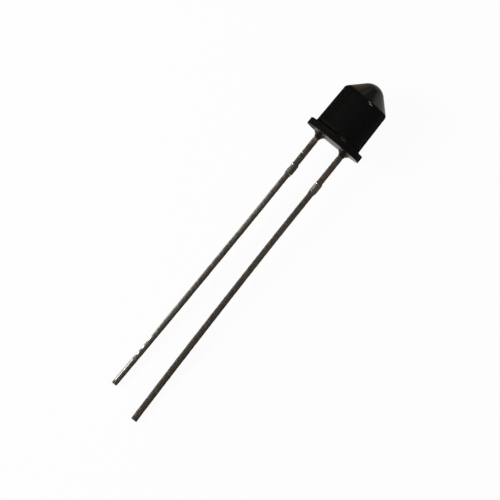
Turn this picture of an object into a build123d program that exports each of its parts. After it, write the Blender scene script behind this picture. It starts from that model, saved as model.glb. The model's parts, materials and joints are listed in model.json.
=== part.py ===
from build123d import *
from math import asin, atan, cos, degrees, isclose, radians, sin, tan
import os

# A radial-lead phototransistor in a black infrared-pass epoxy package, lying as it comes to rest:
# on the rim of its flange and on the ends of its two leads.
# Row frame: +Z up, +X along the optical axis towards the dome, +Y towards the collector lead.
# The origin is the centre of the seating plane, which is the underside of the flange.
# All sizes are in millimetres and all angles in degrees.

# ---- Epoxy package ----
flange_diameter = 5.40
flange_thickness = 0.62
rim_rounding = 0.05          # on both edges of the flange's rim
barrel_diameter = 4.45       # where the barrel leaves the flange
foot_rounding = 0.20         # between the flange's upper face and the barrel
mould_draft = 1.1            # the barrel narrows towards the nose, so that it leaves its mould
nose_half_angle = 45.0       # of the conical nose, measured from the optical axis
shoulder_rounding = 0.45     # between the barrel and the nose
dome_radius = 1.30           # of the small lens at the tip of the nose
overall_height = 6.04        # from the seating plane to the top of the dome

# ---- Leads, blanked from one sheet ----
lead_pitch = 2.54
lead_width = 0.50
lead_thickness = 0.50
lead_edge_rounding = 0.06    # the solder dip rounds the long edges
collector_length = 27.0      # below the seating plane, along the optical axis
emitter_length = 28.3
collector_splay = 0.24       # how far each end has spread outwards from the pitch
emitter_splay = 0.35
stub_start = 3.15            # from the seating plane to the cropped dam bar
stub_length = 1.45
stub_height = 0.08           # how far the cropped bar stands out of each side of a lead
crop_offset = 0.02           # the crop was off centre, which left more on the emitter's side
stub_lead_in = 0.25          # along the lead, from its straight side up to the crop
stub_run_out = 0.45          # and from the crop back to the straight side
stub_rounding = 0.30         # between these ramps and the crop

# ---- Menisci, where the epoxy crept down the leads before it set ----
meniscus_climb = 0.50
meniscus_flare = 0.38        # width and height of the cone that the epoxy makes round the lead
meniscus_hollow = 0.25       # radius of the concave turns at both ends of that cone
meniscus_skin = 0.03         # thickness of the film at its thin end

# ---- Lead posts inside the epoxy ----
post_neck_height = 1.30      # above the seating plane, where the posts begin to widen
post_flag_height = 1.70      # where they have their full width
pad_height = 2.30            # top of the collector post, which carries the die
pad_reach = 0.35             # how far the die pad passes the optical axis
stitch_height = 2.30         # top of the emitter post
post_gap = 0.40              # between the two posts

# ---- Die, its adhesive and its bond wire ----
die_size = 0.40
die_thickness = 0.20
attach_thickness = 0.025
attach_border = 0.03         # how far the adhesive spreads past the die
wire_diameter = 0.03
ball_diameter = 0.09
ball_height = 0.02
ball_offset = 0.10           # from the die's centre towards the emitter
loop_rise = 0.22             # of the wire over the die
loop_shoulder = 0.16         # how far the loop runs before it drops
stitch_length = 0.10
stitch_thickness = 0.015
stitch_inset = 0.18          # from the inner edge of the emitter post to the stitch's centre

# ---- Worked-out sizes ----
flange_radius = flange_diameter / 2
barrel_radius = barrel_diameter / 2
flange_ledge = flange_radius - rim_rounding - barrel_radius   # the flat ring round the barrel's foot
foot_fit = min(foot_rounding, 0.9 * flange_ledge)             # that ring is the wall that limits the rounding
half_pitch = lead_pitch / 2
post_outer = half_pitch + lead_width / 2
stitch_post_inner = pad_reach + post_gap
stub_end = stub_start + stub_length
collector_tip = half_pitch + collector_splay
emitter_tip = half_pitch + emitter_splay
attach_top = pad_height + attach_thickness
die_top = attach_top + die_thickness
stitch_centre = stitch_post_inner + stitch_inset

# The dome is tangent to the cone, and the cone runs out to the drafted barrel.
draft_slope = tan(radians(mould_draft))
nose_slope = tan(radians(nose_half_angle))
dome_centre = overall_height - dome_radius
tangent_radius = dome_radius * cos(radians(nose_half_angle))
tangent_height = dome_centre + dome_radius * sin(radians(nose_half_angle))
cone_apex = tangent_height + tangent_radius / nose_slope
shoulder_height = (cone_apex * nose_slope - barrel_radius - flange_thickness * draft_slope) / (
    nose_slope - draft_slope
)
shoulder_radius = (cone_apex - shoulder_height) * nose_slope

# ---- Rest attitude: the flange's rim and both lead ends touch one floor ----
tip_slope = (emitter_length - collector_length) / (collector_tip + emitter_tip)
tip_line = collector_length + tip_slope * collector_tip
rest_tilt = atan((flange_radius - lead_thickness / 2) / tip_line)
rest_roll = asin(tip_slope * tan(rest_tilt))

# Planes of the package: its seating plane, with x towards the collector and z towards the dome,
# and the middle plane of the lead sheet, with x towards the collector and y towards the dome.
optical_axis = Axis((0, 0, 0), (cos(rest_tilt), 0, sin(rest_tilt)))
collector_way = Vector(0, 1, 0).rotate(optical_axis, -degrees(rest_roll))
seat = Plane(origin=(0, 0, 0), x_dir=collector_way, z_dir=optical_axis.direction)
lead_plane = Plane(origin=seat.origin, x_dir=seat.x_dir, z_dir=-seat.y_dir)


def leg(side, length, splay):
    """One lead below its post: straight past the dam bar, then spread in a gentle arc."""
    centre = side * half_pitch
    with BuildLine(lead_plane) as run:
        straight = Line((centre, post_neck_height), (centre, -stub_end))
        TangentArc(
            straight @ 1, lead_plane.from_local_coords((centre + side * splay, -length)),
            tangent=straight % 1,
        )
    with BuildSketch(Plane(origin=run.line @ 0, x_dir=seat.x_dir, z_dir=run.line % 0)) as section:
        RectangleRounded(lead_width, lead_thickness, lead_edge_rounding)
    sweep(section.sketch, path=run.line)


def dam_bar_stub(side):
    """What the cropping tool left of the dam bar, on both sides of a lead."""
    flank = lead_width / 2
    collector_side = flank + stub_height - crop_offset
    emitter_side = flank + stub_height + crop_offset
    crop_top, crop_bottom = -stub_start - stub_lead_in, -stub_end + stub_run_out
    with BuildSketch(lead_plane) as both_sides:
        with Locations((side * half_pitch, 0)):
            Polygon(
                (flank, -stub_start), (collector_side, crop_top),
                (collector_side, crop_bottom), (flank, -stub_end),
                (-flank, -stub_end), (-emitter_side, crop_bottom),
                (-emitter_side, crop_top), (-flank, -stub_start),
                align=None,
            )
        crop_middle = (side * half_pitch, (crop_top + crop_bottom) / 2)
        fillet(both_sides.vertices().sort_by_distance(crop_middle)[:4], stub_rounding)
    extrude(both_sides.sketch, amount=lead_thickness / 2, both=True)


def meniscus_roots(body):
    """The edges where something leaves the flat underside of the flange."""
    underside = body.faces().filter_by(seat).sort_by(SortBy.AREA)[-1]
    return [edge for wire in underside.inner_wires() for edge in wire.edges()]


# The short lead: its post widens into the pad under the dome that carries the die.
with BuildPart() as collector_lead:
    leg(1, collector_length, collector_splay)
    dam_bar_stub(1)
    with BuildSketch(lead_plane):
        Polygon(
            (post_outer, post_neck_height), (post_outer, pad_height),
            (-pad_reach, pad_height), (-pad_reach, post_flag_height),
            (post_outer - lead_width, post_neck_height),
            align=None,
        )
    extrude(amount=lead_thickness / 2, both=True)
collector_lead.part.label = "collector_lead"

# The long lead: its post widens towards the die, to take the wire's stitch.
with BuildPart() as emitter_lead:
    leg(-1, emitter_length, emitter_splay)
    dam_bar_stub(-1)
    with BuildSketch(lead_plane):
        Polygon(
            (-post_outer, post_neck_height), (-post_outer, stitch_height),
            (-stitch_post_inner, stitch_height), (-stitch_post_inner, post_flag_height),
            (-post_outer + lead_width, post_neck_height),
            align=None,
        )
    extrude(amount=lead_thickness / 2, both=True)
emitter_lead.part.label = "emitter_lead"

# The layer of silver-filled epoxy that glues the die to its pad.
with BuildPart() as die_attach:
    with BuildSketch(seat.offset(pad_height)):
        Rectangle(die_size + 2 * attach_border, die_size + 2 * attach_border)
    extrude(amount=attach_thickness)
die_attach.part.label = "die_attach"

# The silicon die, centred on the optical axis.
with BuildPart() as phototransistor_die:
    with BuildSketch(seat.offset(attach_top)):
        Rectangle(die_size, die_size)
    extrude(amount=die_thickness)
phototransistor_die.part.label = "phototransistor_die"

# The gold wire: a ball on the die, a loop, and a flattened stitch on the emitter post.
with BuildPart() as bond_wire:
    with BuildLine(lead_plane) as loop:
        FilletPolyline(
            (-ball_offset, die_top + ball_height / 2),
            (-ball_offset, die_top + loop_rise),
            (-ball_offset - loop_shoulder, die_top + loop_rise),
            (-stitch_centre, stitch_height + wire_diameter / 2),
            radius=(loop_shoulder / 3, loop_shoulder / 2),
        )
    with BuildSketch(Plane(origin=loop.line @ 0, x_dir=seat.x_dir, z_dir=loop.line % 0)):
        Circle(wire_diameter / 2)
    sweep(path=loop.line)
    with BuildSketch(seat.offset(die_top)):
        with Locations((-ball_offset, 0)):
            Circle(ball_diameter / 2)
    extrude(amount=ball_height)
    with BuildSketch(seat.offset(stitch_height)):
        with Locations((-stitch_centre, 0)):
            Ellipse(stitch_length / 2, 3 * wire_diameter / 2)
    extrude(amount=stitch_thickness)
bond_wire.part.label = "bond_wire"

# The cast package: flange, drafted barrel, conical nose and dome in one revolved profile.
with BuildPart() as epoxy_body:
    with BuildSketch(lead_plane) as profile:
        with BuildLine():
            outline = Polyline(
                (0, 0), (flange_radius, 0), (flange_radius, flange_thickness),
                (barrel_radius, flange_thickness), (shoulder_radius, shoulder_height),
                (tangent_radius, tangent_height),
            )
            dome = CenterArc((0, dome_centre), dome_radius, nose_half_angle, 90 - nose_half_angle)
            Line(dome @ 1, outline @ 0)
        make_face()
        for corner, count, rounding in (
            ((flange_radius, flange_thickness / 2), 2, rim_rounding),
            ((barrel_radius, flange_thickness), 1, foot_fit),
            ((shoulder_radius, shoulder_height), 1, shoulder_rounding),
        ):
            fillet(profile.vertices().sort_by_distance(corner)[:count], rounding)
    revolve(axis=optical_axis)
    # a meniscus round each lead: a thin collar that flares out to the underside of the flange
    with BuildSketch(seat):
        with GridLocations(lead_pitch, 0, 2, 1):
            RectangleRounded(
                lead_width + 2 * meniscus_skin, lead_thickness + 2 * meniscus_skin,
                lead_edge_rounding + meniscus_skin,
            )
    extrude(amount=-meniscus_climb)
    chamfer(meniscus_roots(epoxy_body), meniscus_flare)
    cone_ends = [
        edge for edge in epoxy_body.edges()
        if isclose(seat.to_local_coords(edge.center()).Z, -meniscus_flare, abs_tol=1e-6)
    ]
    fillet(meniscus_roots(epoxy_body) + cone_ends, meniscus_hollow)
    # the epoxy was cast round everything that it holds
    for embedded in (collector_lead, emitter_lead, die_attach, phototransistor_die, bond_wire):
        add(embedded.part, mode=Mode.SUBTRACT)
epoxy_body.part.label = "epoxy_body"

os.makedirs("parts", exist_ok=True)
export_step(epoxy_body.part, "parts/epoxy_body.step")
export_step(collector_lead.part, "parts/collector_lead.step")
export_step(emitter_lead.part, "parts/emitter_lead.step")
export_step(die_attach.part, "parts/die_attach.step")
export_step(phototransistor_die.part, "parts/phototransistor_die.step")
export_step(bond_wire.part, "parts/bond_wire.step")
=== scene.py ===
import json
import math
from collections import namedtuple

import bpy
import numpy as np
from mathutils import Matrix, Vector
from mathutils.geometry import delaunay_2d_cdt


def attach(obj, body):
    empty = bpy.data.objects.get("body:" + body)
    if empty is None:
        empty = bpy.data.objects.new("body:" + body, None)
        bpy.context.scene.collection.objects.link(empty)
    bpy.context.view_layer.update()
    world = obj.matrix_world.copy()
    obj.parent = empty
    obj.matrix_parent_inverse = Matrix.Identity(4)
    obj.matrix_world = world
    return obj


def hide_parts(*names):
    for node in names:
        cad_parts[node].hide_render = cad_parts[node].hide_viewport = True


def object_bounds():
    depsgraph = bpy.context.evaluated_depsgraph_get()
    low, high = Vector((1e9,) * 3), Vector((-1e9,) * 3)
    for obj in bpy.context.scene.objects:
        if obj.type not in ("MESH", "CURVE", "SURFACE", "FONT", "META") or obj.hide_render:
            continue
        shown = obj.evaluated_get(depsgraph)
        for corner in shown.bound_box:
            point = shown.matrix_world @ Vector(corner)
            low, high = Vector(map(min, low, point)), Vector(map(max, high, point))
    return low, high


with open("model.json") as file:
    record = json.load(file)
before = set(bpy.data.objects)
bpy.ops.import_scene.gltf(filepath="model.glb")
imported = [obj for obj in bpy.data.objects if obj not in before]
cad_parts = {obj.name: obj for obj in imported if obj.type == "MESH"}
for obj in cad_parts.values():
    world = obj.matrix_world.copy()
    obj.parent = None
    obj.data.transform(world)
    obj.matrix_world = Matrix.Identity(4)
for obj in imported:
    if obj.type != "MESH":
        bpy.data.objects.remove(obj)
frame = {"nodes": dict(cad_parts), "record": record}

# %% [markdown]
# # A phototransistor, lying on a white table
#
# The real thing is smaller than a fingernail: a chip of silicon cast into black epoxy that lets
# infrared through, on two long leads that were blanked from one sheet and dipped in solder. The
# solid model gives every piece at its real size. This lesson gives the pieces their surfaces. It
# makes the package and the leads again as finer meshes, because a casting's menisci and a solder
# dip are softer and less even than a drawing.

MM = 0.001
solid_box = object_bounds()
print("solid model, metres:", [round(v, 5) for corner in solid_box for v in corner])

# %% [markdown]
# ## Directions
#
# The part lies tilted, on the rim of its flange and on the ends of its leads. Nearly every size on
# it runs along its optical axis or across it, so we read those directions from the mounts that the
# solid model carries, and work in them: x towards the collector lead, y up out of the sheet that
# the leads were cut from, and z along the optical axis towards the dome.

# %% The package's own directions, read from its mounts
mounts = {mount["name"]: mount for mount in frame["record"]["mounts"]}
seat = Vector(mounts["seating_plane"]["pos_m"])
axis = -Vector(mounts["seating_plane"]["axis"]).normalized()
pin_gap = Vector(mounts["collector_pin"]["pos_m"]) - Vector(mounts["emitter_pin"]["pos_m"])
across = pin_gap.normalized()
facing = axis.cross(across)
half_pitch = pin_gap.length / 2 / MM
package = np.array([across, facing, axis])
SIDES = {"collector_lead": 1, "emitter_lead": -1}    # which side of the axis each lead is on


def to_row(x, y, z):
    """Package millimetres to row metres: the seat plus x, y and z along the three directions."""
    return np.stack([x, y, z], axis=-1) * MM @ package + np.array(seat)


def to_package(points):
    """Row metres to package millimetres: how far each point reaches along the three directions."""
    return (points - np.array(seat)) @ package.T / MM


def solid_points(node):
    """A solid node's own vertices in package millimetres, as rows of x, y and z."""
    flat = np.empty(len(frame["nodes"][node].data.vertices) * 3)
    frame["nodes"][node].data.vertices.foreach_get("co", flat)
    return to_package(flat.reshape(-1, 3))


print("pitch %.2f mm, axis tilted %.1f degrees" % (2 * half_pitch, math.degrees(math.asin(axis.z))))

# %% [markdown]
# ## Camera
#
# A small part is best looked at from some way off through a long lens. Close up its long leads
# would seem to fan out, and an orthographic camera would make it look like a drawing. The camera
# looks down on the part, a little from the side of the leads, so that the underside of the flange
# is a thin sliver. We work its direction out from the part's axis: the line of sight is tilted
# until the seating plane makes the angle we want with it, and then the camera is rolled.

# %% Camera
view_width = 41.6 * MM
camera_distance = 400 * MM
underside_angle = math.radians(3.4)      # between the seating plane and the line of sight
axis_turn = math.radians(38.96)          # of the optical axis in the view, clockwise from upright
seat_right, seat_up = 6.85 * MM, 8.91 * MM   # from the middle of the view to the seat

seat_along = seat_right * math.sin(axis_turn) + seat_up * math.cos(axis_turn)
sight_tilt = math.asin(axis.z) + underside_angle - math.atan(seat_along / camera_distance)
sight = Vector((math.sin(sight_tilt), 0, -math.cos(sight_tilt)))
along = (axis - sight * axis.dot(sight)).normalized()
beside = sight.cross(along)
view_right = along * math.sin(axis_turn) + beside * math.cos(axis_turn)
view_up = along * math.cos(axis_turn) - beside * math.sin(axis_turn)
aim = seat - view_right * seat_right - view_up * seat_up

camera = bpy.data.objects.new("camera", bpy.data.cameras.new("camera"))
bpy.context.scene.collection.objects.link(camera)
camera.data.lens = camera.data.sensor_width * camera_distance / view_width
camera.data.clip_start, camera.data.clip_end = 10 * MM, 10
camera.matrix_world = Matrix.Translation(aim - sight * camera_distance) @ Matrix(
    (view_right, view_up, -sight)
).transposed().to_4x4()
bpy.context.scene.camera = camera
print("lens %.0f mm at %.0f mm" % (camera.data.lens, camera_distance / MM))

# %% [markdown]
# ## Helpers
#
# Every piece here is a surface worked out with numpy: a grid of points whose rows close on
# themselves, like the hoops of a barrel. So we need the quads between the hoops, a fan to close an
# end, and one function that turns points and faces into an object. Unevenness is made of a few
# waves of random length, because a real surface has no single wavelength.

# %% Grids, fans and waves
def smooth(value, low, high):
    """0 below low, 1 above high, and 3t^2 - 2t^3 between them."""
    t = np.clip((value - low) / (high - low), 0, 1)
    return t * t * (3 - 2 * t)


def hoops(count, around, first=0):
    """Quads between neighbouring rows of a grid whose rows close on themselves."""
    i, j = np.meshgrid(np.arange(count - 1), np.arange(around), indexing="ij")
    k = (j + 1) % around
    here, above = first + i * around, first + (i + 1) * around
    return np.stack([here + j, here + k, above + k, above + j], axis=-1).reshape(-1, 4)


def fan(ring, hub):
    """Triangles from each side of a closed ring to one middle vertex."""
    return np.stack([ring, np.roll(ring, -1), np.full(len(ring), hub)], axis=-1)


def waves(along_mm, turn, seed, shortest, longest, most_rounds=3, count=40):
    """A smooth uneven field, about -1 to 1: the sum of waves of random length, rounds and phase."""
    rng = np.random.default_rng(seed)
    length = np.exp(rng.uniform(np.log(shortest), np.log(longest), count))
    rounds = rng.integers(-most_rounds, most_rounds + 1, count)
    phase = rng.uniform(0, 2 * np.pi, count)
    along_mm, turn = np.broadcast_arrays(along_mm, turn)
    angle = 2 * np.pi * (along_mm[..., None] / length) + rounds * turn[..., None] + phase
    return np.sin(angle).sum(axis=-1) / math.sqrt(count)


def add_piece(name, points, faces, **attributes):
    """An object at the origin, its place in its mesh, with one number a vertex per attribute."""
    mesh = bpy.data.meshes.new(name)
    mesh.from_pydata(points, [], faces)
    mesh.polygons.foreach_set("use_smooth", [True] * len(mesh.polygons))
    for label, values in attributes.items():
        mesh.attributes.new(label, "FLOAT", "POINT").data.foreach_set("value", np.ravel(values))
    piece = bpy.data.objects.new(name, mesh)
    bpy.context.scene.collection.objects.link(piece)
    print(name, len(mesh.vertices), "vertices,", len(mesh.polygons), "faces")
    return piece


print("a wave a step:", np.round(waves(np.arange(5), 0, seed=0, shortest=3, longest=9), 2))

# %% [markdown]
# A material is a few nodes, and three helpers keep it readable: one turns a colour as painters
# write it into the linear light that Blender reckons in, one starts a material, and one adds any
# node. Patterns on this part follow the package and its leads, which lie tilted in the row, so a
# Mapping node turns Object coordinates into package coordinates. It counts them in the size of the
# pattern's cells, in millimetres, so a pattern node that takes them has a scale of 1.

# %% Colours, nodes and package coordinates
def linear(hex_colour):
    """sRGB hex to linear: v/12.92 when dark, ((v + 0.055)/1.055)^2.4 otherwise."""
    srgb = np.array([int(hex_colour[i:i + 2], 16) for i in (1, 3, 5)]) / 255
    return (*np.where(srgb <= 0.04045, srgb / 12.92, ((srgb + 0.055) / 1.055) ** 2.4), 1.0)


def new_material(name):
    """An empty material, and its tree of nodes."""
    material = bpy.data.materials.new(name)
    material.use_nodes = True
    material.node_tree.nodes.clear()
    return material, material.node_tree


def add_node(tree, kind, sockets=(), **settings):
    """Adds a node with its settings, and fills its sockets: the first ones in order, or any by key.

    A socket takes a number, a hex colour, a link from another node's output, or another node, for
    a link from its first output.
    """
    node = tree.nodes.new(kind)
    for name, value in settings.items():
        setattr(node, name, value)
    for key, value in sockets.items() if isinstance(sockets, dict) else enumerate(sockets):
        if isinstance(value, bpy.types.Node):
            value = value.outputs[0]
        if isinstance(value, bpy.types.NodeSocket):
            tree.links.new(value, node.inputs[key])
        else:
            node.inputs[key].default_value = linear(value) if isinstance(value, str) else value
    return node


def package_place(tree, across_mm, along_mm):
    """Object coordinates as package coordinates, in cells of across_mm and, upwards, along_mm."""
    place = add_node(tree, "ShaderNodeTexCoord").outputs["Object"]
    turned = Matrix((across, facing, axis)).transposed().to_euler()
    cell = (across_mm * MM, across_mm * MM, along_mm * MM)
    return add_node(tree, "ShaderNodeMapping", (place, seat, turned, cell), vector_type="TEXTURE")


print("mid grey as light: %.3f" % linear("#808080")[0])

# %% [markdown]
# ## The cast package
#
# The epoxy is poured into a polished cup and sets round the lead frame, so the package is a body
# of revolution with a mirror gloss: flange, drafted barrel, conical nose and a small dome. Its
# outline is a chain of straight lines and arcs that touch without a corner. We write that outline
# as a formula, instead of bevelling sharp edges afterwards, so that each small radius has its true
# size, because a glossy radius is where the light catches.

# %% The outline of the package
body_points = solid_points("epoxy_body")
FLANGE_RADIUS = np.hypot(body_points[:, 0], body_points[:, 1]).max()
DOME_TOP = body_points[:, 2].max()
FLANGE_THICKNESS = 0.62
RIM_ROUNDING = 0.05
LOWER_RIM = 0.02             # the flange's lower edge, where the mould parts
BARREL_RADIUS = 2.225        # at the flange
DRAFT = math.radians(1.1)
FOOT_ROUNDING = 0.20
SHOULDER_ROUNDING = 0.45
NOSE_ANGLE = math.radians(45)
DOME_RADIUS = 1.30


def arc(centre, radius, start, end, steps):
    """Points (r, z) on a circle between two angles, which are measured from the r direction."""
    angle = np.linspace(start, end, steps)
    return np.array(centre) + radius * np.stack([np.cos(angle), np.sin(angle)], axis=-1)


def run(start, end, steps):
    """Points (r, z) along a straight line, without its ends."""
    share = np.linspace(0, 1, steps + 2)[1:-1, None]
    return np.array(start) * (1 - share) + np.array(end) * share


def package_outline():
    """The outline (r, z): arcs and lines from the rim to the cone, then the dome.

    The shoulder's centre is where two lines cross, each a rounding inside its side: the barrel,
    r = R - (z - t) tan(draft), and the cone, r = (apex - z) tan(nose).
    """
    quarter, draft, cone = math.pi / 2, math.tan(DRAFT), math.tan(NOSE_ANGLE)
    inner = FLANGE_RADIUS - RIM_ROUNDING
    low = FLANGE_RADIUS - LOWER_RIM
    rim_low = arc((low, LOWER_RIM), LOWER_RIM, -quarter, 0, 7)
    rim_high = arc((inner, FLANGE_THICKNESS - RIM_ROUNDING), RIM_ROUNDING, 0, quarter, 7)
    foot_r = BARREL_RADIUS - FOOT_ROUNDING * draft + FOOT_ROUNDING / math.cos(DRAFT)
    foot_centre = (foot_r, FLANGE_THICKNESS + FOOT_ROUNDING)
    foot = arc(foot_centre, FOOT_ROUNDING, -quarter, -math.pi + DRAFT, 14)
    apex = DOME_TOP - DOME_RADIUS + DOME_RADIUS / math.sin(NOSE_ANGLE)
    inside_cone = SHOULDER_ROUNDING / math.cos(NOSE_ANGLE)
    inside_barrel = SHOULDER_ROUNDING / math.cos(DRAFT)
    shoulder_z = (
        apex * cone - inside_cone - BARREL_RADIUS - FLANGE_THICKNESS * draft + inside_barrel
    ) / (cone - draft)
    shoulder_r = (apex - shoulder_z) * cone - inside_cone
    shoulder = arc((shoulder_r, shoulder_z), SHOULDER_ROUNDING, DRAFT, NOSE_ANGLE, 12)
    dome = arc((0, DOME_TOP - DOME_RADIUS), DOME_RADIUS, NOSE_ANGLE, quarter, 34)[:-1]
    return np.concatenate([
        [(inner, 0)], rim_low, run(rim_low[-1], rim_high[0], 5), rim_high,
        run(rim_high[-1], foot[0], 3), foot, run(foot[-1], shoulder[0], 40), shoulder,
        run(shoulder[-1], dome[0], 16), dome,
    ])


outline = package_outline()
widest, highest = outline.max(axis=0)
print("outline: %d points, widest %.2f mm, top %.2f mm" % (len(outline), widest, highest))

# %% [markdown]
# Before it set, the epoxy crept a little way down each lead and froze there as a meniscus. On the
# real part it is the softest form of all: a skirt that leaves the flat underside in a gentle turn,
# runs down as a cone and turns again into a thin skin on the metal. The lead is square, so the
# skirt is a grid too, with one direction round a rounded square and the other down that outline.

# %% A meniscus
LEAD_SIDE = 0.50
MENISCUS_FLARE = 0.38        # width and height of the cone
MENISCUS_HOLLOW = 0.25       # radius of the turns at both of its ends
MENISCUS_SKIN = 0.03
MENISCUS_CORNER = 0.12       # rounding of the square that the skirt is carried round
MENISCUS_CREEP = 0.06        # share by which its depth varies round the lead
MENISCUS_FLAT = 0.05         # width of its first ring, on the underside
# the skin's end, from a thin film on the lead to a hem that dips into it: (out, up) from the lead's
# side and the seat
SKIN_END = [(0.020, -0.497), (0.008, -0.505), (-0.010, -0.508), (-0.030, -0.510)]


def square_ring(half, rounding, corner_steps=9, side_steps=5):
    """Round a rounded square: for each point the centre of its corner's circle, and the way out."""
    turn = np.concatenate([np.linspace(k, k + 1, corner_steps) for k in range(4)]) * np.pi / 2
    way = np.stack([np.cos(turn), np.sin(turn)], axis=-1)
    corners = np.repeat([[1, 1], [-1, 1], [-1, -1], [1, -1]], corner_steps, axis=0)
    centre = corners * (half - rounding)
    share = np.linspace(0, 1, side_steps + 2)[1:-1, None]
    centres, ways = [], []
    for k in range(4):
        here = slice(k * corner_steps, (k + 1) * corner_steps)
        last, following = (k + 1) * corner_steps - 1, ((k + 1) * corner_steps) % len(turn)
        centres += [centre[here], centre[last] * (1 - share) + centre[following] * share]
        ways += [way[here], np.repeat(way[last][None], side_steps, axis=0)]
    return np.concatenate(centres), np.concatenate(ways)


def meniscus(side):
    """A skirt round one lead: an eighth of a circle, a cone, and an eighth more down to a skin.

    A turn of radius h takes h tan(22.5 degrees) of each line that it joins. The skin's end dips
    into the lead, at a height that varies round it by a few hundredths.
    """
    centres, ways = square_ring(LEAD_SIDE / 2, MENISCUS_CORNER)
    hollow, eighth = MENISCUS_HOLLOW, math.pi / 4
    run_in = hollow * math.tan(eighth / 2)
    hollow_centre = (MENISCUS_SKIN + MENISCUS_FLARE + run_in, -hollow)
    root = arc(hollow_centre, hollow, 2 * eighth, 3 * eighth, 8)
    toe = arc((MENISCUS_SKIN + hollow, -MENISCUS_FLARE - run_in), hollow, 3 * eighth, 4 * eighth, 8)
    flat_ring = root[0] + (MENISCUS_FLAT, 0)
    profile = np.concatenate([[flat_ring], root, run(root[-1], toe[0], 6), toe, SKIN_END])
    out, up = profile[:, :1], profile[:, 1:]
    turn = np.arctan2(ways[:, 1], ways[:, 0])
    creep = MENISCUS_CREEP * waves(0, turn, seed=20 + side, shortest=1, longest=2)
    flat = centres + ways * (MENISCUS_CORNER + out[..., None]) + (side * half_pitch, 0)
    depth = up * (1 + creep * smooth(-up, 0.1, 0.4))
    return np.concatenate([flat, depth[..., None]], axis=-1)


skirts = [meniscus(side) for side in SIDES.values()]
print("menisci reach %.2f mm down" % -min(skirt[..., 2].min() for skirt in skirts))

# %% [markdown]
# The whole package is one skin. The outline is carried round the axis, each skirt is closed inside
# its lead, and the flat underside is what is left between the rim and the two skirts. A flat with
# two holes is no grid, so Blender's constrained Delaunay triangulation fills it. Its edges already
# lie flat at both ends, because the outline and the skirts each start with one ring of points on
# the flat, and that keeps smooth shading from bulging it.

# %% The package
AROUND_BODY = 256
BODY_WAVER = 0.0025          # how far the casting's radius comes and goes


def package_surface():
    """Points (across r cos v, facing r sin v, height z) of the revolved outline, and the skirts.

    The radius wavers by a few thousandths, as a casting's does, but not at the flange or the dome.
    """
    v = np.arange(AROUND_BODY) / AROUND_BODY * 2 * np.pi
    radius, height = outline[:, :1], outline[:, 1:] + 0 * v
    waver = BODY_WAVER * waves(height, v, seed=11, shortest=1.5, longest=6.0, most_rounds=4)
    radius = radius + waver * smooth(radius, 0.0, 0.9) * smooth(height, 0.7, 1.2)
    hull = np.stack([radius * np.cos(v), radius * np.sin(v), height], axis=-1)
    points = [hull.reshape(-1, 3), [(0, 0, DOME_TOP)]]
    faces = hoops(len(hull), AROUND_BODY).tolist()
    pole = len(hull) * AROUND_BODY
    faces += fan(np.arange(pole - AROUND_BODY, pole), pole).tolist()
    flat_edges, first = [np.arange(AROUND_BODY)], pole + 1
    for skirt in skirts:
        rings, around = skirt.shape[:2]
        hub = first + rings * around
        points += [skirt.reshape(-1, 3), skirt[-1].mean(axis=0)[None] + (0, 0, 0.03)]
        faces += hoops(rings, around, first)[:, ::-1].tolist()
        faces += fan(np.arange(hub - around, hub), hub)[:, ::-1].tolist()
        flat_edges.append(first + np.arange(around))
        first = hub + 1
    points = np.concatenate(points)
    return points, faces + underside(points, flat_edges)


def underside(points, rings):
    """Triangles between the outer ring and the holes, without those that join one hole's points."""
    edge = np.concatenate(rings)
    places = np.split(np.arange(len(edge)), np.cumsum([len(ring) for ring in rings])[:-1])
    sides = np.concatenate([np.stack([place, np.roll(place, -1)], axis=-1) for place in places])
    spots = [Vector(point) for point in points[edge, :2]]
    flat = delaunay_2d_cdt(spots, sides.tolist(), [], 1, 1e-6)
    corners = edge[np.array(flat[3])[:, 0][np.array(flat[2])]]
    in_a_hole = np.any([np.isin(corners, ring).all(axis=1) for ring in rings[1:]], axis=0)
    return corners[~in_a_hole][:, ::-1].tolist()


def package_finish(points):
    """Four numbers a vertex for the finish, from how far across and how high it lies.

    thin_film is 1 over a lead and 0.35 on the rest of its skirt, red grows from the emitter's side
    to the collector's, dull marks the ring round the barrel's foot, and dusty the whole flange.
    """
    reach, height = points[:, 0], points[:, 2]
    over_lead = 1 - smooth(np.abs(np.abs(reach) - half_pitch), 0.14, 0.28)
    film = (0.35 + 0.65 * over_lead) * smooth(-height, 0.0, 0.12)
    foot = smooth(height, FLANGE_THICKNESS - 0.02, FLANGE_THICKNESS + 0.02)
    foot = foot * (1 - smooth(height, FLANGE_THICKNESS + FOOT_ROUNDING, 1.1))
    dusty = smooth(height, LOWER_RIM, 0.2) * (1 - smooth(height, 0.9, 1.3))
    return {"thin_film": film, "red": smooth(reach, -1.0, 1.0), "dull": 0.8 * foot, "dusty": dusty}


package_points, package_faces = package_surface()
in_row = to_row(*package_points.T)
body = add_piece("cast_package", in_row, package_faces, **package_finish(package_points))
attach(body, "root")
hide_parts("epoxy_body")

# %% [markdown]
# ### Its finish
#
# Infrared-pass epoxy, cast against polished steel: a black so deep that almost all one sees of it
# is the gloss. It is clear on the barrel and the nose and duller at the foot, where the mould is
# hard to polish, and the flange, by which the part is handled, carries a little dust. Where the
# epoxy thins to a skin on the menisci it mirrors less, and the metal below shows through it, deep
# red on the collector and brown on the emitter. Fine dust in the mould leaves pits of about a
# hundredth of a millimetre, and the roughness wanders from place to place. Epoxy could be made of
# glass with a volume in it, but no light that we see comes back out of this one, so a black surface
# with the right gloss looks the same and renders clean.

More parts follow.
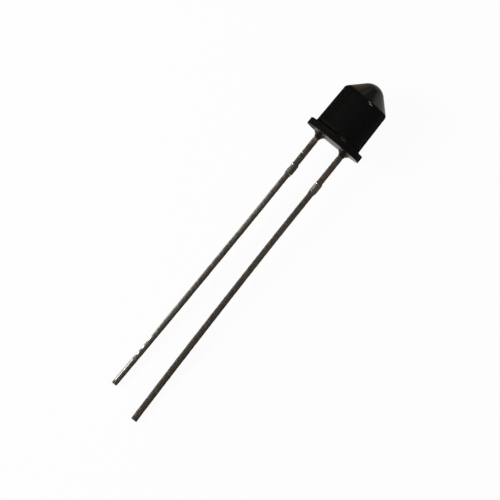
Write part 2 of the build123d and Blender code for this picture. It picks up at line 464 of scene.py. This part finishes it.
# %% Infrared-pass epoxy
epoxy, tree = new_material("ir_pass_epoxy")
own = {
    name: add_node(tree, "ShaderNodeAttribute", attribute_name=name).outputs["Fac"]
    for name in ("thin_film", "red", "dull", "dusty")
}
noise = {
    name: add_node(tree, "ShaderNodeTexNoise", {
        "Vector": package_place(tree, *cell), "Scale": 1, "Detail": detail, "Roughness": rough,
    })
    for name, cell, detail, rough in (
        ("patches", (0.18, 0.18), 3, 0.6), ("pits", (0.012, 0.012), 1, 0.5),
        ("dust", (0.08, 0.06), 2, 0.5),
    )
}
# in a colour's Mix, socket 0 is the share, and 6 and 7 are the colours; output 2 is the result
mottle = add_node(tree, "ShaderNodeMapRange", (noise["patches"], 0.35, 0.65))
deep_red = add_node(
    tree, "ShaderNodeMix", {0: mottle, 6: "#280f04", 7: "#1c0a02"}, data_type="RGBA",
)
skin = add_node(
    tree, "ShaderNodeMix", {0: own["red"], 6: "#1c130b", 7: deep_red.outputs[2]}, data_type="RGBA",
)
spots = add_node(tree, "ShaderNodeMapRange", (noise["dust"], 0.56, 0.68))
dust = add_node(tree, "ShaderNodeMath", (own["dusty"], spots), operation="MULTIPLY")
black = add_node(tree, "ShaderNodeMix", {0: dust, 6: "#0e0d0c", 7: "#22201c"}, data_type="RGBA")
colour = add_node(
    tree, "ShaderNodeMix", {0: own["thin_film"], 6: black.outputs[2], 7: skin.outputs[2]},
    data_type="RGBA",
)
duller = add_node(tree, "ShaderNodeMath", (own["thin_film"], own["dull"]), operation="MAXIMUM")
polish = add_node(tree, "ShaderNodeMapRange", (noise["patches"], 0.35, 0.75, 0.05, 0.11))
pits = add_node(tree, "ShaderNodeMapRange", (noise["pits"], 0.6, 0.8))
shader = add_node(tree, "ShaderNodeBsdfPrincipled", {
    "Base Color": colour.outputs[2],
    "IOR": 1.5,
    "Roughness": add_node(tree, "ShaderNodeMath", (duller, 0.35, polish), operation="MULTIPLY_ADD"),
    "Specular IOR Level": add_node(tree, "ShaderNodeMapRange", (duller, 0, 1, 0.5, 0.12)),
    "Normal": add_node(
        tree, "ShaderNodeBump", {"Height": pits, "Strength": 0.10, "Distance": 0.002 * MM},
    ),
})
add_node(tree, "ShaderNodeOutputMaterial", (shader,))
body.data.materials.append(epoxy)
print("epoxy:", len(tree.nodes), "nodes")

# %% [markdown]
# ## The leads
#
# Both leads were blanked from one sheet half a millimetre thick, cropped free of the bar that held
# them side by side, and dipped in solder. From a step away they look black and square. Close up
# the dip has rounded the long edges unevenly, the crop has left two stubs, and the free ends have
# spread a little. A bevelled curve would give the same section all the way down, so we carry a
# section of our own along a route: a straight run, then the circle that leaves it tangentially and
# ends at the tip.

# %% The route of a lead
STUB_START, STUB_END = 3.15, 4.60    # below the seat
STUB_LEAD_IN, STUB_RUN_OUT = 0.25, 0.45
STUB_HEIGHT, CROP_OFFSET = 0.08, 0.02    # out of a lead's sides; the crop left more on one
NECK, FLAG = 1.30, 1.70              # above the seat, where a post begins and ends its widening
POST_INNER = {"collector_lead": -0.35, "emitter_lead": 0.75}    # its inner side, out from the axis
TIP_ROUNDING = 0.05


def lead_route(node):
    """Stations (x, z) down a lead and the slope of each: a straight run, then a circle to the tip.

    The circle drops by d while it spreads by e, so its radius is (d^2 + e^2) / 2e and its whole
    turn is twice the angle whose tangent is e/d. The last stations crowd towards the cut end.
    """
    solid, side = solid_points(node), SIDES[node]
    top, tip = solid[:, 2].max(), solid[:, 2].min()
    end = solid[np.abs(solid[:, 2] - tip) < TIP_ROUNDING]
    spread = side * (end[:, 0].max() + end[:, 0].min()) / 2 - half_pitch
    straight = np.concatenate([
        np.linspace(top, FLAG, 5), np.linspace(FLAG, NECK, 6)[1:], np.linspace(NECK, -0.3, 10)[1:],
        np.linspace(-0.3, -STUB_END, 110)[1:],
    ])
    drop = -tip - STUB_END
    radius = (drop ** 2 + spread ** 2) / (2 * spread)
    whole = 2 * math.atan(spread / drop)
    cut = whole * (1 - TIP_ROUNDING / drop * np.array([1, 0.6, 0.3, 0.1, 0.02, 0]))
    turn = np.concatenate([np.linspace(0, cut[0], 540)[1:-1], cut])
    x = half_pitch + np.concatenate([0 * straight, radius * (1 - np.cos(turn))])
    z = np.concatenate([straight, -STUB_END - radius * np.sin(turn)])
    return side * x, z, np.concatenate([0 * straight, side * turn])


for node in SIDES:
    x, z, slope = lead_route(node)
    spread = abs(x[-1]) - half_pitch
    print("%s: %d stations, tip %.2f mm down and %.2f mm out" % (node, len(z), -z[-1], spread))

# %% [markdown]
# The section is a square whose corners are rounded, and the rounding is where this lead differs
# from a drawn wire. Each corner is a curve of the family x^p + y^p = r^p: with p = 2 it is round,
# as the dip leaves it, and towards p = 1 it is flat, as on an edge that was sheared or rubbed.
# Every place where an edge is cut back is one line in a short list, with how pale it is painted,
# partly bare solder and partly painted highlight.
# Molten solder also draws itself together on a face, so each face is a little crowned, and the
# coat is thicker in some stretches of a lead than in others.

# %% The section of a lead
AROUND_LEAD = 64
EDGE_ROUNDING = 0.08
COAT = 0.012                 # how much the dip varies in thickness
CROWN = 0.05                 # share by which each face falls off towards its edges
CUT_RUN_OUT = 0.06           # how quickly a cut ends
EdgeCut = namedtuple("EdgeCut", "lead edge start end depth flatness lead_in waver bright lip")
# edge is +1 on the collector's side; start and end are below the seat; flatness runs from 0, round,
# to 1, flat; waver is how much the depth comes and goes; bright is how pale the cut is painted,
# partly bare solder and partly painted highlight; lip is a narrow band at the lead's side that is
# left unpainted
EDGE_CUTS = (
    EdgeCut("collector_lead", 1, 24.40, 26.78, 0.125, 1.0, 0.05, 0.0, 1.0, 0.015),
    EdgeCut("collector_lead", 1, 19.50, 24.35, 0.125, 0.9, 4.00, 0.5, 1.0, 0.0),
    EdgeCut("collector_lead", 1, 3.34, 3.86, 0.13, 0.9, 0.12, 0.0, 1.0, 0.0),
    EdgeCut("collector_lead", 1, 3.80, 4.30, 0.13, 0.8, 0.10, 0.0, 0.2, 0.0),
    EdgeCut("emitter_lead", 1, 3.36, 3.74, 0.14, 0.9, 0.12, 0.0, 1.0, 0.0),
    EdgeCut("emitter_lead", 1, 3.60, 4.30, 0.15, 0.8, 0.10, 0.0, 0.3, 0.0),
    EdgeCut("collector_lead", -1, 4.22, 4.38, 0.16, 0.9, 0.05, 0.0, 1.0, 0.0),
    EdgeCut("collector_lead", 1, 2.16, 2.28, 0.13, 0.6, 0.05, 0.0, 0.8, 0.0),
    EdgeCut("emitter_lead", 1, 27.40, 28.20, 0.13, 0.8, 0.40, 0.2, 0.0, 0.0),
)
Swell = namedtuple("Swell", "lead edge thickness rise fall")
# where the coat is thicker, or worn thinner: edge is 0 on both sides; rise and fall are stretches
# below the seat, and one that falls past the tip runs on to the end
PAST_TIP = (29, 30)
SWELLS = (
    Swell("collector_lead", 0, 0.02, (0.55, 0.9), (3.0, 3.4)),
    Swell("collector_lead", 1, -0.03, (20.3, 21.5), (23.7, 24.2)),
    Swell("emitter_lead", 0, 0.02, (0.55, 0.9), (3.0, 3.4)),
    Swell("emitter_lead", -1, 0.025, (4.3, 4.8), PAST_TIP),
    Swell("emitter_lead", -1, 0.025, (8, 22), PAST_TIP),
)


def square_way(around):
    """Once round a square of half side 1, in even steps from one corner's middle to the next."""
    v = np.arange(around) / around * 4
    edge, share = v.astype(int), 2 * (v % 1) - 1
    one = np.ones(around)
    x = np.select([edge == 0, edge == 1, edge == 2], [one, -share, -one], share)
    y = np.select([edge == 0, edge == 1, edge == 2], [share, one, -share], -one)
    return x, y, v / 4 * 2 * np.pi


def cut_back(node, below, way_x, way_y):
    """How far each corner is cut back, how flat and how bright: cuts come and go smoothly."""
    depth, flat, bright = (0 * below * way_x for _ in range(3))
    for cut in EDGE_CUTS:
        if cut.lead != node:
            continue
        here = smooth(below, cut.start, cut.start + cut.lead_in)
        here = here * (1 - smooth(below, cut.end - CUT_RUN_OUT, cut.end))
        comes_and_goes = waves(below, 0, seed=40, shortest=0.6, longest=1.8, most_rounds=0)
        uneven = 1 - cut.waver * np.clip(0.4 + comes_and_goes, 0, 1)
        share = here * uneven * ((way_x * cut.edge > 0) & (way_y > 0))
        inside = 1 - smooth(LEAD_SIDE / 2 * np.abs(way_x), LEAD_SIDE / 2 - cut.lip, LEAD_SIDE / 2)
        depth = np.maximum(depth, cut.depth * share)
        flat = np.maximum(flat, cut.flatness * share)
        # a cut's pale colour: partly bare sheared solder, partly painted highlight
        shine = cut.bright * smooth(share, 0.55, 0.75) * (inside if cut.lip else 1)
        bright = np.maximum(bright, shine)
    return depth, flat, bright


def coat_swell(node, below, way_x):
    """How much thicker the coat is on each side: each swell rises and falls smoothly."""
    swell = 0 * below * way_x
    for place in SWELLS:
        if place.lead == node:
            here = smooth(below, *place.rise) * (1 - smooth(below, *place.fall))
            swell = swell + place.thickness * here * (place.edge * way_x >= 0)
    return swell


def lead_section(node, z):
    """Offsets (x, y) round the lead at each station: a square, its corners and its ends drawn in.

    A point p of the square keeps its nearest corner centre c and moves to c + r d / |d|_p, where
    d = p - c. The cut end draws in by a quarter circle. Last, each face is crowned: x shrinks by
    the share k (y / half)^2, and y by k (x / half)^2. The cuts' brightness is given back too.
    """
    way_x, way_y, turn = square_way(AROUND_LEAD)
    side, below, half = SIDES[node], -z[:, None], LEAD_SIDE / 2
    stub = smooth(below, STUB_START, STUB_START + STUB_LEAD_IN) * (
        1 - smooth(below, STUB_END - STUB_RUN_OUT, STUB_END)
    )
    post = np.clip((-below - NECK) / (FLAG - NECK), 0, 1) * (half_pitch - half - POST_INNER[node])
    cropped = np.where(way_x > 0, STUB_HEIGHT - CROP_OFFSET, STUB_HEIGHT + CROP_OFFSET)
    wide = half + np.where(way_x * side > 0, 0, post) + cropped * stub
    wide = wide + coat_swell(node, below, way_x)
    depth, flat, bright = cut_back(node, below, way_x, way_y)
    r = np.maximum(EDGE_ROUNDING, depth)
    power = 2 - flat
    px, py = wide * way_x, half * way_y + 0 * below
    cx, cy = np.clip(px, r - wide, wide - r), np.clip(py, r - half, half - r)
    dx, dy = px - cx, py - cy
    length = (np.abs(dx) ** power + np.abs(dy) ** power) ** (1 / power)
    waver = waves(below, turn, seed=3 + side, shortest=0.3, longest=3.0)
    dip = COAT * (0.5 + 0.5 * np.clip(waver, -1, 1))
    left = np.clip((below[-1] - below) / TIP_ROUNDING, 0, 1)
    end = TIP_ROUNDING * (1 - np.sqrt(1 - (1 - left) ** 2))
    out = (r - dip * smooth(below, 0.0, 0.6) - end) / length
    qx, qy = cx + dx * out, cy + dy * out
    crowned_x = qx * (1 - CROWN * (qy / half) ** 2)
    crowned_y = qy * (1 - CROWN * np.minimum(1, np.abs(qx / half)) ** 2)
    return crowned_x, crowned_y, bright


print("section: %d points round, edges rounded by %.2f mm" % (AROUND_LEAD, EDGE_ROUNDING))

# %% [markdown]
# Each vertex also carries two numbers for the finish, worked out with the shape, because they
# follow its edges and not its place: how pale the solder is painted, where it is cut or rubbed and
# where painted highlights and painted light stand for how the lamps fall on it, and how much
# varnish-brown flux is left near the package. They are read back in the material.

# %% The two leads
FLUX = {"collector_lead": (1.0, 1.35), "emitter_lead": (0.25, 2.60)}    # how much, and how far down
FLUX_FADE, FLUX_WAVER = 0.5, 0.25
# how bright the upper edges are painted, partly rubbing and partly painted highlight, and then, for
# places below the seat, how much lighter the lead's outer half is painted, a painted light
RUBBED_AND_PAINTED_LIGHT = {
    "collector_lead": (0.05, (
        (0, 0.2), (1.0, 0.17), (1.4, 0), (3.2, 0), (4.6, 0.10), (7, 0.26), (10, 0.28), (12, 0.12),
        (17, 0.12), (20, 0.24), (26.6, 0.24), (26.8, 0.05),
    )),
    "emitter_lead": (0.03, (
        (0, 0), (3.2, 0.02), (3.5, 0.10), (4.3, 0.08), (4.8, 0), (8, 0.06), (13, 0.03), (15, 0),
    )),
}


def rubbed_bright(node, qx, qy, cut_bright, below, turn):
    """How bright: where an edge is cut back, fainter on the upper edges, and over the outer half.

    A cut or rubbed edge is partly bare solder and partly painted highlight, brighter on the
    collector's side, where the light from the left catches it. The outer half is painted lighter in
    stretches, a painted light. An edge is where |sin 2a|^6 is high, for the angle a round the
    section.
    """
    corner = np.abs(np.sin(2 * np.arctan2(qy, qx))) ** 6
    patchy = waves(below, turn, seed=60 + SIDES[node], shortest=0.8, longest=6.0, most_rounds=2)
    edge, stretches = RUBBED_AND_PAINTED_LIGHT[node]
    # painted light: the outer half of each lead is painted lighter in stretches
    outer = np.interp(below, *zip(*stretches)) * smooth(SIDES[node] * qx, -0.15, 0.25)
    stretch = 0.6 + 0.4 * smooth(patchy, -0.8, 0.8)
    # painted highlight: the upper edges on the collector's side are painted brighter than the
    # others
    worn_and_lit = edge * corner * stretch * np.where(qx > 0, 1.0, 0.2) + outer
    return np.clip(np.maximum(worn_and_lit * (qy > 0), cut_bright), 0, 1)


def flux_left(node, below, turn):
    """How much flux is left: all of it near the package, to an edge that wavers round the lead."""
    most, end = FLUX[node]
    edge = end + FLUX_WAVER * waves(0, turn, seed=80 + SIDES[node], shortest=1, longest=2)
    return most * (1 - smooth(below, edge - FLUX_FADE, edge))


turn = square_way(AROUND_LEAD)[2]
for node in SIDES:
    x, z, slope = (values[:, None] for values in lead_route(node))
    qx, qy, cut_bright = lead_section(node, z[:, 0])
    stations = to_row(x + qx * np.cos(slope), qy, z + qx * np.sin(slope))
    grid = np.arange(qx.size).reshape(qx.shape)
    faces = hoops(len(z), AROUND_LEAD)[:, ::-1].tolist()
    faces += fan(grid[0], grid.size).tolist() + fan(grid[-1], grid.size + 1)[:, ::-1].tolist()
    ends = stations[[0, -1]].mean(axis=1)
    bright = rubbed_bright(node, qx, qy, cut_bright, -z, turn)
    lead = add_piece(
        node + "_dipped", np.concatenate([stations.reshape(-1, 3), ends]), faces,
        rubbed_bright=np.append(bright, (0, 0.3)),
        flux=np.append(flux_left(node, -z, turn), (1, 0)),
    )
    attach(lead, "root")
    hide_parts(node)

# %% [markdown]
# ### Their finish
#
# Tin-lead solder from a dip starts bright and goes dull and dark in store. The tarnish is mottled:
# greyer and greener where the coat is thick, browner where the steel is near, with streaks along
# the lead from blanking and a few pale flecks, partly bare specks of solder and partly painted
# glints. All of it is a metal, so its colour is what it reflects. Each of these has a noise of its
# own, at its own size, because one noise for all would look like a print. The grain is a fiftieth
# of a millimetre and shows only close up. From further off the patches, the streaks and the
# flecks, up to a quarter of a millimetre long, carry the mottling. Over it all lies a pale colour
# where the solder is cut or rubbed, partly bare metal and partly painted highlight, and in
# stretches on each lead's outer half, a painted light.

# %% Tarnished solder dip
solder, tree = new_material("tarnished_solder_dip")
bright, flux = (
    add_node(tree, "ShaderNodeAttribute", attribute_name=name).outputs["Fac"]
    for name in ("rubbed_bright", "flux")
)
noise = {
    name: add_node(tree, "ShaderNodeTexNoise", {
        "Vector": package_place(tree, *cell), "Scale": 1, "Detail": detail, "Roughness": rough,
    })
    for name, cell, detail, rough in (
        ("patches", (0.10, 0.22), 3, 0.5), ("grain", (0.020, 0.028), 2, 0.6),
        ("streaks", (0.014, 0.26), 2, 0.5),
    )
}
flecks = package_place(tree, 0.044, 0.068)
flecks = add_node(tree, "ShaderNodeTexVoronoi", {"Vector": flecks, "Scale": 1})
near = add_node(tree, "ShaderNodeMapRange", (flecks.outputs["Distance"], 0.10, 0.24, 1, 0))
lot = add_node(tree, "ShaderNodeSeparateColor", (flecks.outputs["Color"],))
chosen = add_node(tree, "ShaderNodeMapRange", (lot, 0.82, 0.88))
fleck = add_node(tree, "ShaderNodeMath", (near, chosen), operation="MULTIPLY")

# the coat's colours, each laid over those before it: by which value, between which two numbers it
# comes in, and how much of it
coat = "#665548"
for value, low, high, most, colour in (
    (noise["patches"], 0.38, 0.62, 1, "#4c504b"),
    (noise["grain"], 0.38, 0.68, 1, "#37312d"),
    (noise["streaks"], 0.42, 0.72, 0.5, "#786e64"),
    # pale flecks: partly bare specks of solder, partly painted glints
    (fleck, 0, 1, 1, "#cfc8ba"),
    (flux, 0, 1, 0.5, "#846a4c"),
    # pale solder where cut or rubbed, with painted highlights and painted light
    (bright, 0, 1, 1, "#e6e2da"),
):
    share = add_node(tree, "ShaderNodeMapRange", (value, low, high, 0, most))
    coat = add_node(tree, "ShaderNodeMix", {0: share, 6: coat, 7: colour}, data_type="RGBA")
    coat = coat.outputs[2]
relief = add_node(tree, "ShaderNodeMapRange", (bright, 0.3, 1, 0.6, 0.1))
shader = add_node(tree, "ShaderNodeBsdfPrincipled", {
    "Metallic": 1,
    "Base Color": coat,
    "Roughness": add_node(tree, "ShaderNodeMapRange", (bright, 0, 1, 0.52, 0.22)),
    "Normal": add_node(tree, "ShaderNodeBump", {
        "Height": noise["grain"], "Strength": relief, "Distance": 0.006 * MM,
    }),
})
add_node(tree, "ShaderNodeOutputMaterial", (shader,))
for node in SIDES:
    bpy.data.objects[node + "_dipped"].data.materials.append(solder)
print("solder:", len(tree.nodes), "nodes")

# %% [markdown]
# ## Inside the package
#
# The chip, its glue and its wire are cast in and can't be seen, so the solid pieces stay as they
# are. They still get the finishes that the real ones have, for whoever takes the part apart.

# %% Silicon, silver-filled epoxy and gold wire
# Silicon is ground and polished to a dark mirror, and the pad under the wire's ball is aluminium.
BALL_OFFSET, PAD_RADIUS, PAD_EDGE = 0.10, 0.060, 0.004
silicon, tree = new_material("polished_silicon")
die_top = solid_points("phototransistor_die")[:, 2].max()
ball = Vector(to_row(-BALL_OFFSET, 0, die_top))
place = add_node(tree, "ShaderNodeTexCoord").outputs["Object"]
from_ball = add_node(tree, "ShaderNodeVectorMath", (place, ball), operation="DISTANCE")
pad = add_node(tree, "ShaderNodeMapRange", (
    from_ball.outputs["Value"], PAD_RADIUS * MM, (PAD_RADIUS + PAD_EDGE) * MM, 1, 0,
))
cells = package_place(tree, 0.01, 0.01)
cells = add_node(tree, "ShaderNodeTexNoise", {"Vector": cells, "Scale": 1})
cells = add_node(tree, "ShaderNodeMapRange", (cells, 0.3, 0.7))
active = add_node(tree, "ShaderNodeMix", {0: cells, 6: "#20263a", 7: "#2f3550"}, data_type="RGBA")
colour = add_node(
    tree, "ShaderNodeMix", {0: pad, 6: active.outputs[2], 7: "#d5d7da"}, data_type="RGBA",
)
shader = add_node(tree, "ShaderNodeBsdfPrincipled", {
    "Base Color": colour.outputs[2], "Metallic": pad, "Roughness": 0.18, "IOR": 3.4,
})
add_node(tree, "ShaderNodeOutputMaterial", (shader,))

# Glue full of silver flakes of a few thousandths of a millimetre, which glint one by one.
silver_epoxy, tree = new_material("silver_filled_epoxy")
flakes = package_place(tree, 0.0024, 0.0024)
flakes = add_node(tree, "ShaderNodeTexVoronoi", {"Vector": flakes, "Scale": 1})
flake = add_node(tree, "ShaderNodeSeparateColor", (flakes.outputs["Color"],))
colour = add_node(tree, "ShaderNodeMix", {0: flake, 6: "#8d8f8e", 7: "#d9dbd8"}, data_type="RGBA")
shader = add_node(tree, "ShaderNodeBsdfPrincipled", {
    "Base Color": colour.outputs[2],
    "Metallic": add_node(tree, "ShaderNodeMapRange", (flake, 0.2, 0.9)),
    "Roughness": add_node(tree, "ShaderNodeMapRange", (flake, 0, 1, 0.6, 0.3)),
})
add_node(tree, "ShaderNodeOutputMaterial", (shader,))

# Gold that is drawn through a die is smooth, with faint marks along it.
gold, tree = new_material("drawn_gold_wire")
drawn = package_place(tree, 0.0008, 0.016)
drawn = add_node(tree, "ShaderNodeTexNoise", {"Vector": drawn, "Scale": 1})
colour = add_node(tree, "ShaderNodeMix", {0: drawn, 6: "#ffcf70", 7: "#f2bd5a"}, data_type="RGBA")
shader = add_node(tree, "ShaderNodeBsdfPrincipled", {
    "Base Color": colour.outputs[2], "Metallic": 1,
    "Roughness": add_node(tree, "ShaderNodeMapRange", (drawn, 0.3, 0.7, 0.16, 0.28)),
})
add_node(tree, "ShaderNodeOutputMaterial", (shader,))

inside = {"phototransistor_die": silicon, "die_attach": silver_epoxy, "bond_wire": gold}
for node, finish in inside.items():
    frame["nodes"][node].data.materials.clear()
    frame["nodes"][node].data.materials.append(finish)
    print(node, "in", finish.name)

# %% [markdown]
# ## The table
#
# A white table that the camera sees as white, and that still takes a faint shadow. To the lamps it
# is a matt white surface. To the camera, and to rays that a shiny surface sends back or that glass
# lets through, most of it is a plain white glow of strength 1, so that it looks the same white
# everywhere and in every reflection.

# %% Table
FLOOR_Z = solid_box[0].z
TABLE_HALF = 800 * MM


def stage_quad(name, corners, material):
    """A flat piece of the studio with four corners, in row metres; it isn't part of the object."""
    quad = add_piece(name, corners, [(0, 1, 2, 3)])
    quad.data.materials.append(material)
    return quad


def seen_white(tree, share):
    """A plain glow's share of a surface, for camera, glossy and transmission rays alone."""
    ray = add_node(tree, "ShaderNodeLightPath").outputs
    shown = ray["Is Camera Ray"]
    for kind in ("Is Glossy Ray", "Is Transmission Ray"):
        shown = add_node(tree, "ShaderNodeMath", (shown, ray[kind]), operation="MAXIMUM")
    return add_node(tree, "ShaderNodeMath", (shown, share), operation="MULTIPLY")


# Matt white paint: it scatters light evenly, and here it glows for the rays that look at it.
table_white, tree = new_material("matt_white_table")
paint = add_node(tree, "ShaderNodeBsdfDiffuse", {"Color": "#fafafa"})
glow = add_node(tree, "ShaderNodeEmission", {"Strength": 1})
both = add_node(tree, "ShaderNodeMixShader", (seen_white(tree, 0.95), paint, glow))
add_node(tree, "ShaderNodeOutputMaterial", (both,))
ways = ((-1, -1), (1, -1), (1, 1), (-1, 1))
stage_quad("table", [(a * TABLE_HALF, b * TABLE_HALF, FLOOR_Z) for a, b in ways], table_white)

# %% [markdown]
# ## Cards
#
# A glossy black thing has no colour of its own to show. It shows what stands round it, so it is
# lit by choosing what it reflects. On a bare white table the barrel would be striped with white.
# So under the part lies a sheet of painted reflections and painted shade, which glows in tones
# chosen for the gloss to mirror: black beside the barrel, a painted shade, soot further to the
# right, and grey where the two sides of the nose look down, warmer on the left. It is white behind
# and to the left, pale round the roots of the leads, which the menisci mirror, a strip of painted
# shade where the underside looks at the table under the flange, and dark in a lane below each lead,
# a painted shadow of the lead. Cards stand round the whole front, black or sooty, so that no strip
# of the white horizon shows in the shoulder. Sheet and cards are for reflections alone: they cast
# no shadow, and the camera and the lamps' matt light don't see them.

# %% Painted reflections and painted shade under the part
# tones of the painted reflections; BLACK, where it lies beside the barrel, is painted shade
BLACK, SOOT, DIM, GREY, PALE = "#222222", "#404040", "#5e5e5c", "#b6b4ad", "#e6e3dc"
WARM, GREENISH, WHITE = "#988b7a", "#8e9389", "#ffffff"


def spread(near, far, steps):
    """Places from -far to far, close together in the middle: near sinh(k u), for u from -1 to 1."""
    k = math.asinh(far / near)
    return near * np.sinh(k * np.linspace(-1, 1, steps))


def painted_reflection_tone(x, y):
    """Linear red, green and blue at a place on the sheet of painted reflections, in millimetres.

    White behind and to the left of the leads, dark to their right, pale round their roots, with a
    dark lane below each lead, a painted shadow of the lead. Ahead of the nose lie a grey field on
    the right, a warmer and darker one on the left that turns greenish further off, and a small one
    straight ahead for the dome. The cone sees only what is nearer than a curve, k (x - 3.8)^0.6
    with k 1.55 on the left and 1.85 on the right, so the fields end there. The underside looks
    straight down at a strip of painted shade, the table in the shade under the flange, a little
    darker left of the collector. Elsewhere, as beside the barrel, it is black, a painted shade.
    Where two fields overlap the lighter one counts.
    """
    aside, ahead = np.abs(y), np.maximum(x, 4)
    slope = y / ahead
    # painted shadow: a dark lane below each lead
    lane = smooth(aside, 0.75, 1.0) * (1 - smooth(aside, 1.55, 1.85))
    white = (1 - smooth(x + 0.02 * aside, -1.6, -0.4)) * (1 - lane)
    white = white * (0.04 + 0.96 * smooth(y, -0.4, 0.8))
    root = smooth(-x, 0.3, 0.8) * (1 - smooth(-x, 12, 20)) * (1 - smooth(-y, 9, 13)) * (1 - lane)
    limit = (1.55 + 0.30 * (y < 0)) * (ahead - 3.8) ** 0.6
    nose = smooth(x - 0.10 * aside, 5.0, 6.2) * (1 - smooth(aside / limit, 1.0, 1.12))
    beside = smooth(x, -0.5, 0.3) * smooth(-y, 4, 7) * (1 - smooth(x, 30, 80))
    right = nose * smooth(-slope, 0.02, 0.36)
    left = nose * smooth(slope, 0.08, 0.24)
    far = smooth(x, 10, 50)
    middle = nose * (1 - smooth(x, 120, 200)) * (1 - smooth(aside - 0.1 * x, 0.6, 1.8))
    middle = middle * (1 - 0.2 * smooth(x, 8, 20))
    # painted shade: the strip that the underside mirrors, the table in the shade under the flange
    under = smooth(x, -0.9, -0.5) * (1 - smooth(x, 0.40, 0.60)) * (1 - smooth(aside, 2.6, 2.8))
    under = under * (1 - 0.7 * smooth(y, 1.7, 2.0)) * (0.26 + 0.35 * x)
    by_lead = np.interp(y, (-1.9, -1.8, 1.0, 1.4, 1.9, 2.0), (0.4, 0.2, 0.1, -0.5, -0.5, 0))
    under = under * (1 + by_lead * smooth(aside, 0.60, 0.80))
    # black, a painted shade, wherever no field lies, as beside the barrel
    tone = 0 * x[..., None] + linear(BLACK)[:3]
    for share, shade in (
        (white, WHITE), (beside, SOOT), (right, GREY), (left * (1 - far), WARM),
        (left * far, GREENISH), (middle, GREY), (root, PALE), (under, WHITE),
    ):
        tone = np.maximum(tone, share[..., None] * linear(shade)[:3])
    return tone


def glow_material(name, shade=None):
    """An even glow for a card: one shade, or what the card carries in its attribute tone."""
    material, tree = new_material(name)
    tone = shade or add_node(tree, "ShaderNodeAttribute", attribute_name="tone").outputs["Color"]
    glow = add_node(tree, "ShaderNodeEmission", {"Color": tone, "Strength": 1})
    add_node(tree, "ShaderNodeOutputMaterial", (glow,))
    return material


def only_in_reflections(card):
    """Hides a card from the camera and the matt light, and stops its shadow."""
    card.visible_camera = card.visible_diffuse = card.visible_shadow = False


END, STEPS, LIFT = 200, 260, 0.02    # half width, points a side, height off the table
x, y = np.meshgrid(spread(1.2, END, STEPS), spread(1.0, END, STEPS), indexing="ij")
corner = np.arange(STEPS * STEPS).reshape(STEPS, STEPS)[:-1, :-1].ravel()
squares = np.stack([corner, corner + STEPS, corner + STEPS + 1, corner + 1], axis=-1)
lifted = np.stack([x * MM, y * MM, 0 * x + FLOOR_Z + LIFT * MM], axis=-1).reshape(-1, 3)
# a sheet of painted reflections and painted shade, glowing for glossy rays alone
painted_reflection_card = add_piece("painted_reflection_paper", lifted, squares.tolist())
colours = np.concatenate([painted_reflection_tone(x, y), np.ones((*x.shape, 1))], axis=-1).ravel()
painted_reflection_card.data.attributes.new("tone", "FLOAT_COLOR", "POINT").data.foreach_set("color", colours)
painted_reflection_card.data.materials.append(glow_material("painted_reflection_paper"))
only_in_reflections(painted_reflection_card)

# %% Cards round its edge
CARD_HEIGHT = 60
MID = 70                     # half the width of the cards straight ahead and behind
for name, start, end, shade in (
    ("card_left", (0, END), (END, END), BLACK),
    ("card_right", (-END, -END), (0, -END), BLACK),
    ("card_right_ahead", (0, -END), (END, -END), SOOT),
    ("card_ahead", (END, -MID), (END, MID), DIM),
    ("card_ahead_left", (END, MID), (END, END), BLACK),
    ("card_ahead_right", (END, -END), (END, -MID), SOOT),
    ("card_behind", (-END, MID), (-END, -MID), BLACK),
):
    foot = [(*(np.array(place) * MM), FLOOR_Z) for place in (start, end)]
    head = [(px, py, FLOOR_Z + CARD_HEIGHT * MM) for px, py, _ in reversed(foot)]
    only_in_reflections(stage_quad(name, foot + head, glow_material(name, shade)))

# %% [markdown]
# ## Light
#
# A wide soft lamp stands up on the left, behind the part, where the barrel can't mirror it but the
# dull solder still picks it up. Two lamps ahead and to the right each put one small spark on the
# rounded shoulder. Three small ones stand low beside the leads, and each lights what was cut: the
# bright edge at the collector's tip, the cropped stubs from the left, and a nick beside them from
# the right. The room above is dark, and near the table's horizon it is white.

# %% Lamps and room
def lamp(name, place, width, height, radiance, aim_at=(0, 0, 0)):
    """A rectangular lamp in millimetres; area A gives radiance L at a power of pi L A."""
    light = bpy.data.lights.new(name, "AREA")
    light.shape = "RECTANGLE"
    light.size, light.size_y = width * MM, height * MM
    light.energy = radiance * math.pi * width * height * MM * MM
    stand = bpy.data.objects.new(name, light)
    bpy.context.scene.collection.objects.link(stand)
    stand.location = Vector(place) * MM
    stand.rotation_mode = "QUATERNION"
    stand.rotation_quaternion = (Vector(place) - Vector(aim_at)).to_track_quat("Z", "Y")
    stand.visible_camera = False


lamp("soft_left", (-180, 236, 240), 160, 160, 14.0)
lamp("spark_left", (328, -88, 210), 60, 110, 4.5)
lamp("spark_right", (159, -161, 319), 80, 130, 4.0)
lamp("edge_light", (-27, 62, 22), 18, 26, 5.0, (-24, 0, 2))
lamp("stub_light", (-12, 60, 24), 6, 16, 5.0, (-3.6, 0, 0))
lamp("nick_light", (-12, -60, 24), 6, 12, 5.0, (-4.3, 0, 0))

HORIZON, DARK_FROM, ROOM_DIM = 0.12, 0.22, 0.06    # white below the first, dim above the second
world = bpy.data.worlds.new("studio_room")
bpy.context.scene.world = world
world.use_nodes = True
tree = world.node_tree
tree.nodes.clear()
way = add_node(tree, "ShaderNodeTexCoord").outputs["Generated"]
height = add_node(tree, "ShaderNodeSeparateXYZ", (way,)).outputs["Z"]
strength = add_node(tree, "ShaderNodeMapRange", (height, HORIZON, DARK_FROM, 1, ROOM_DIM))
room = add_node(tree, "ShaderNodeBackground", {"Strength": strength})
add_node(tree, "ShaderNodeOutputWorld", (room,))
bpy.context.scene.view_settings.view_transform = "Standard"
